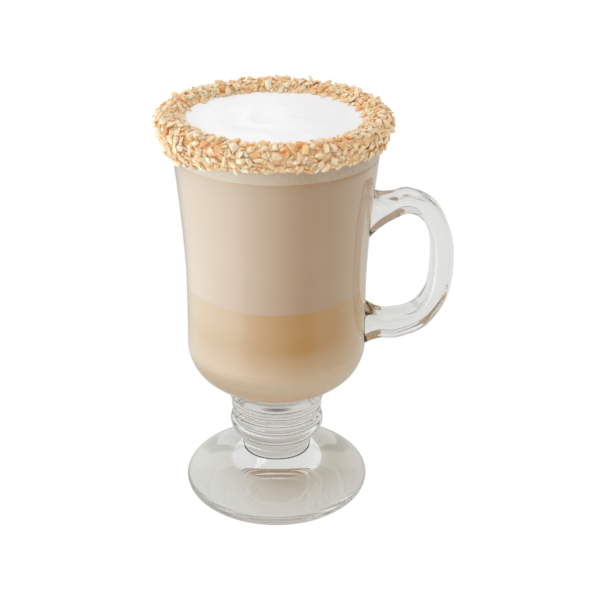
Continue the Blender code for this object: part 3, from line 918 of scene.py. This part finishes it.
def make_crust():
    """The bumpy core that the nuts sit in, which reaches just into the glass below its lip."""
    shape = bmesh.new()
    turns = [2 * math.pi * i / CRUST_AROUND for i in range(CRUST_AROUND)]
    rings = [[shape.verts.new(point) for point in crust_ring(turn)] for turn in turns]
    for near, far in zip(rings, rings[1:] + rings[:1]):
        bridge(shape, near, far)
    mesh = mesh_of("nut_crust", shape)
    mesh.shade_smooth()
    crust = mesh_object("nut_crust", mesh, crust_material())
    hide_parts("nut_rim")


def chip_shape(draw, corners, bevel):
    """Points and triangles of a broken chip of unit size: the hull of a few corners, its edges worn round."""
    stretch = Vector((1.0, draw.uniform(0.62, 0.9), draw.uniform(0.42, 0.7)))
    shape = bmesh.new()
    for _ in range(corners):
        way = Vector([draw.gauss(0, 1) for _ in range(3)]).normalized()
        shape.verts.new(way * stretch * draw.uniform(0.42, 0.5))
    hull = bmesh.ops.convex_hull(shape, input=shape.verts)
    inside = [item for item in hull["geom_interior"] if isinstance(item, bmesh.types.BMVert)]
    bmesh.ops.delete(shape, geom=inside, context="VERTS")
    if bevel:
        bmesh.ops.bevel(shape, geom=shape.edges, offset=bevel, segments=2, affect="EDGES", clamp_overlap=True)
    bmesh.ops.triangulate(shape, faces=shape.faces)
    bmesh.ops.recalc_face_normals(shape, faces=shape.faces)
    shape.verts.index_update()
    points = np.array([vert.co for vert in shape.verts])
    faces = np.array([[vert.index for vert in face.verts] for face in shape.faces])
    shape.free()
    return points, faces


def spread_spots(draw, count, spacing, tries=12):
    """Random places on the crust, with the way out at each: as many as fit with that spacing, up to count."""
    taken = {}
    spots = []
    for _ in range(count * tries):
        if len(spots) == count:
            break
        turn, share = draw.uniform(0, 2 * math.pi), draw.uniform(0.02, 0.97)
        place, way = crust_spot(turn, share)
        cell = tuple(int(value // spacing) for value in place)
        near = [
            other
            for dx in (-1, 0, 1)
            for dy in (-1, 0, 1)
            for dz in (-1, 0, 1)
            for other in taken.get((cell[0] + dx, cell[1] + dy, cell[2] + dz), ())
        ]
        if any((place - other).length < spacing for other in near):
            continue
        taken.setdefault(cell, []).append(place)
        spots.append((place, way))
    return spots


def chip_frame(way, draw, tilt):
    """A rotation that lays a chip along the crust, spun at random and tilted a little."""
    side = way.orthogonal().normalized()
    spin = Matrix.Rotation(draw.uniform(0, 2 * math.pi), 3, way)
    lean = Matrix.Rotation(draw.gauss(0, tilt), 3, side)
    return np.array(lean @ spin @ Matrix((side, way.cross(side), way)).transposed())


def blend_colour(first, second, share):
    """The colour at that share of the way from first to second."""
    return tuple(a + (b - a) * share for a, b in zip(first, second))


def chip_colours(draw, depth):
    """A colour for each point of a chip: one of the nut colours, toasted and given painted shade towards the
    crust below it.
    """
    picked = draw.choices(NUT_COLOURS, NUT_WEIGHTS)[0]
    top = np.array(blend_colour(picked, WHITE, draw.uniform(0.0, NUT_PALING)))
    # The chip's underside, towards the crust, takes toasted brown and painted shade.
    toasted = TOAST_AND_SHADE_AT_MIDDLE - depth * TOAST_AND_SHADE_DEPTH + draw.uniform(*TOAST_AND_SHADE_SPREAD)
    brown = np.clip(toasted, 0, 1)[:, None]
    return top * (1 - brown) + top * np.array(TOAST_AND_SHADE) * brown


def scattered_mesh(name, spots, shapes, sizes, lift, tilt, draw):
    """One joined mesh of chips at the spots, each of a random shape, size, turn and colour."""
    all_points, all_faces, all_colours = [], [], []
    offset = 0
    for place, way in spots:
        points, faces = shapes[draw.randrange(len(shapes))]
        size = draw.uniform(*sizes)
        turned = points @ chip_frame(way, draw, tilt).T * size
        out = size * lift * draw.uniform(-0.4, 1.0) - CHIP_SINK
        all_points.append(turned + np.array(place + way * out))
        all_faces.append(faces + offset)
        offset += len(points)
        all_colours.append(chip_colours(draw, turned @ np.array(way) / size))
    points = np.concatenate(all_points)
    mesh = bpy.data.meshes.new(name)
    mesh.from_pydata(points.tolist(), [], np.concatenate(all_faces).tolist())
    colours = np.concatenate([np.concatenate(all_colours), np.ones((len(points), 1))], axis=1)
    attribute = mesh.attributes.new("chip_colour", "FLOAT_COLOR", "POINT")
    attribute.data.foreach_set("color", colours.astype(np.float32).ravel())
    return mesh


def make_nuts():
    """Chopped roasted nuts all over the crust: larger chips, smaller ones between them and a few crumbs."""
    draw = random.Random(SEED)
    kinds = {
        "chip": [chip_shape(draw, draw.choice(CHIP_CORNERS), CHIP_WEAR) for _ in range(CHIP_SHAPES)],
        "crumb": [chip_shape(draw, CRUMB_CORNERS, 0.0) for _ in range(CRUMB_SHAPES)],
    }
    for name, kind, count, spacing, sizes, lift, tilt in NUT_LAYERS:
        spots = spread_spots(draw, count, spacing)
        mesh = scattered_mesh(name, spots, kinds[kind], sizes, lift, tilt, draw)
        mesh.shade_smooth()
        mesh.set_sharp_from_angle(angle=math.radians(32))
        chips = mesh_object(name, mesh, nut_material(name + "_look"))
        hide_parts("nut_rim")


# Stage


def make_camera():
    """The photograph's camera."""
    camera = bpy.data.objects.new("camera", bpy.data.cameras.new("camera"))
    camera.data.lens = CAMERA_LENS
    camera.data.sensor_width = 36.0
    camera.data.clip_start = 0.01
    turn = Matrix.Rotation(-CAMERA_YAW, 4, "Z") @ Matrix.Rotation(math.pi / 2 - CAMERA_PITCH, 4, "X")
    roll = Matrix.Rotation(CAMERA_ROLL, 4, "Z")
    camera.matrix_world = Matrix.Translation((0.0, -CAMERA_DISTANCE, CAMERA_HEIGHT)) @ turn @ roll
    bpy.context.scene.collection.objects.link(camera)
    bpy.context.scene.camera = camera


def glowing_surface(name, profile, glow):
    """A revolved surface of the stage that only glows, with its tree and shader for a pattern in the glow."""
    material, tree, shader = material_of(name + "_look")
    shader.inputs["Base Color"].default_value = (0.0, 0.0, 0.0, 1.0)
    shader.inputs["Specular IOR Level"].default_value = 0.0
    shader.inputs["Emission Color"].default_value = (1.0, 1.0, 1.0, 1.0)
    shader.inputs["Emission Strength"].default_value = glow
    mesh = revolved_mesh(name, profile)
    mesh.materials.append(material)
    surface = bpy.data.objects.new(name, mesh)
    surface.visible_shadow = False
    bpy.context.scene.collection.objects.link(surface)
    return surface, tree, shader


def side_panel_glow(tree):
    """Glow of the low panels: a large one along SIDE_WAY that ends in front, and a weak one on the right."""
    place = object_place(tree)
    away = vector_maths_of(tree, "LENGTH", place).outputs["Value"]
    way = vector_maths_of(tree, "NORMALIZE", place).outputs["Vector"]
    towards = vector_maths_of(tree, "DOT_PRODUCT", way, SIDE_WAY).outputs["Value"]
    parts = parts_of(tree, way)
    share = maths_of(tree, "MAXIMUM", maths_of(tree, "ADD", towards, SIDE_WRAP), 0.0)
    large = maths_of(tree, "MULTIPLY", maths_of(tree, "POWER", share, SIDE_FALLOFF), SIDE_GLOW)
    edge = scaled_span(tree, parts["Y"], *EDGE_SPAN, 0.0, EDGE_GLOW)
    front = maths_of(tree, "MULTIPLY", edge, share)
    right = scaled_span(tree, parts["X"], *RIGHT_SPAN, 0.0, RIGHT_GLOW)
    panels = maths_of(tree, "ADD", maths_of(tree, "ADD", large, front), right)
    reach = scaled_span(tree, away, *SIDE_REACH, 0.0, 1.0)
    room = maths_of(tree, "ADD", panels, ROOM_GLOW - TABLE_GLOW)
    return maths_of(tree, "ADD", maths_of(tree, "MULTIPLY", room, reach), TABLE_GLOW)


def table_shade(tree):
    """The table's grey, in the warm shadow of the mug near its foot and paler further out."""
    reach = TABLE_SHADE[-1][0]
    away = vector_maths_of(tree, "DISTANCE", object_place(tree), SHADE_CENTRE).outputs["Value"]
    stops = [(distance / reach, colour) for distance, colour in TABLE_SHADE]
    return ramp_of(tree, span_of(tree, away, 0.0, reach), stops)


def make_sweep():
    """The white floor that rises behind the mug, which only the camera sees."""
    rise = arc((SWEEP_REACH, SWEEP_REACH - FLOOR_DROP), (SWEEP_REACH, SWEEP_REACH), -90, 0, 24)
    sweep, _, _ = glowing_surface("white_sweep", [(0.0, -FLOOR_DROP)] + rise, 1.0)
    sweep.visible_diffuse = False
    sweep.visible_glossy = False
    sweep.visible_transmission = False


def make_table():
    """The grey table, which lights the mug from below and shows through its clear parts."""
    table, tree, shader = glowing_surface("grey_table", FLAT_FLOOR, 1.0)
    tree.links.new(table_shade(tree), shader.inputs["Emission Color"])
    table.visible_camera = False
    table.visible_glossy = False


def make_side_panel():
    """The pale panels, which show only in the glass's reflections."""
    panel, tree, shader = glowing_surface("side_panel", FLAT_FLOOR, TABLE_GLOW)
    shader.inputs["Emission Color"].default_value = SIDE_TINT
    tree.links.new(side_panel_glow(tree), shader.inputs["Emission Strength"])
    panel.visible_camera = False
    panel.visible_diffuse = False
    panel.visible_transmission = False


def make_world():
    """A pale room, brighter behind the mug and brightest on the left, with a dark band low on its walls."""
    world = bpy.data.worlds.new("studio")
    world.use_nodes = True
    bpy.context.scene.world = world
    tree = world.node_tree
    parts = parts_of(tree, add_node(tree, "ShaderNodeTexCoord").outputs["Generated"])
    walls = scaled_span(tree, parts["Y"], -1.0, 1.0, FRONT_GLOW, BACK_GLOW)
    left = scaled_span(tree, parts["X"], *LEFT_SPAN, 0.0, LEFT_GLOW)
    above_low = scaled_span(tree, parts["Z"], *BAND_LOW, 0.0, BAND_DEPTH)
    below_high = scaled_span(tree, parts["Z"], *BAND_HIGH, 1.0, 0.0)
    band = maths_of(tree, "MULTIPLY", above_low, below_high)
    glow = maths_of(tree, "ADD", walls, left)
    glow = maths_of(tree, "MULTIPLY", glow, maths_of(tree, "SUBTRACT", 1.0, band))
    background = tree.nodes["Background"]
    background.inputs["Color"].default_value = (1.0, 1.0, 1.0, 1.0)
    tree.links.new(glow, background.inputs["Strength"])


def area_light(name, place, size, power):
    """A soft rectangular light that points at the mug and shows only in its effect."""
    light = bpy.data.lights.new(name, "AREA")
    light.shape = "RECTANGLE"
    light.size, light.size_y = size
    light.energy = power
    lamp = bpy.data.objects.new(name, light)
    lamp.location = place
    lamp.rotation_euler = (Vector(LIGHT_TARGET) - Vector(place)).to_track_quat("-Z", "Y").to_euler()
    lamp.visible_camera = False
    lamp.visible_transmission = False
    bpy.context.scene.collection.objects.link(lamp)


def make_lights():
    """The soft lights, which the clear glass lets through to the drink, and the bounces that glass needs."""
    for name, place, size, power in LIGHTS:
        area_light(name, place, size, power)
    bpy.context.scene.view_settings.view_transform = "Standard"
    cycles = bpy.context.scene.cycles
    cycles.max_bounces = BOUNCES
    cycles.glossy_bounces = BOUNCES
    cycles.transmission_bounces = BOUNCES


def main():
    """Makes every piece of the mug, and then the stage round it."""
    make_glass()
    make_caramel()
    make_latte()
    make_foam()
    make_crust()
    make_nuts()
    make_camera()
    make_sweep()
    make_table()
    make_side_panel()
    make_world()
    make_lights()


main()
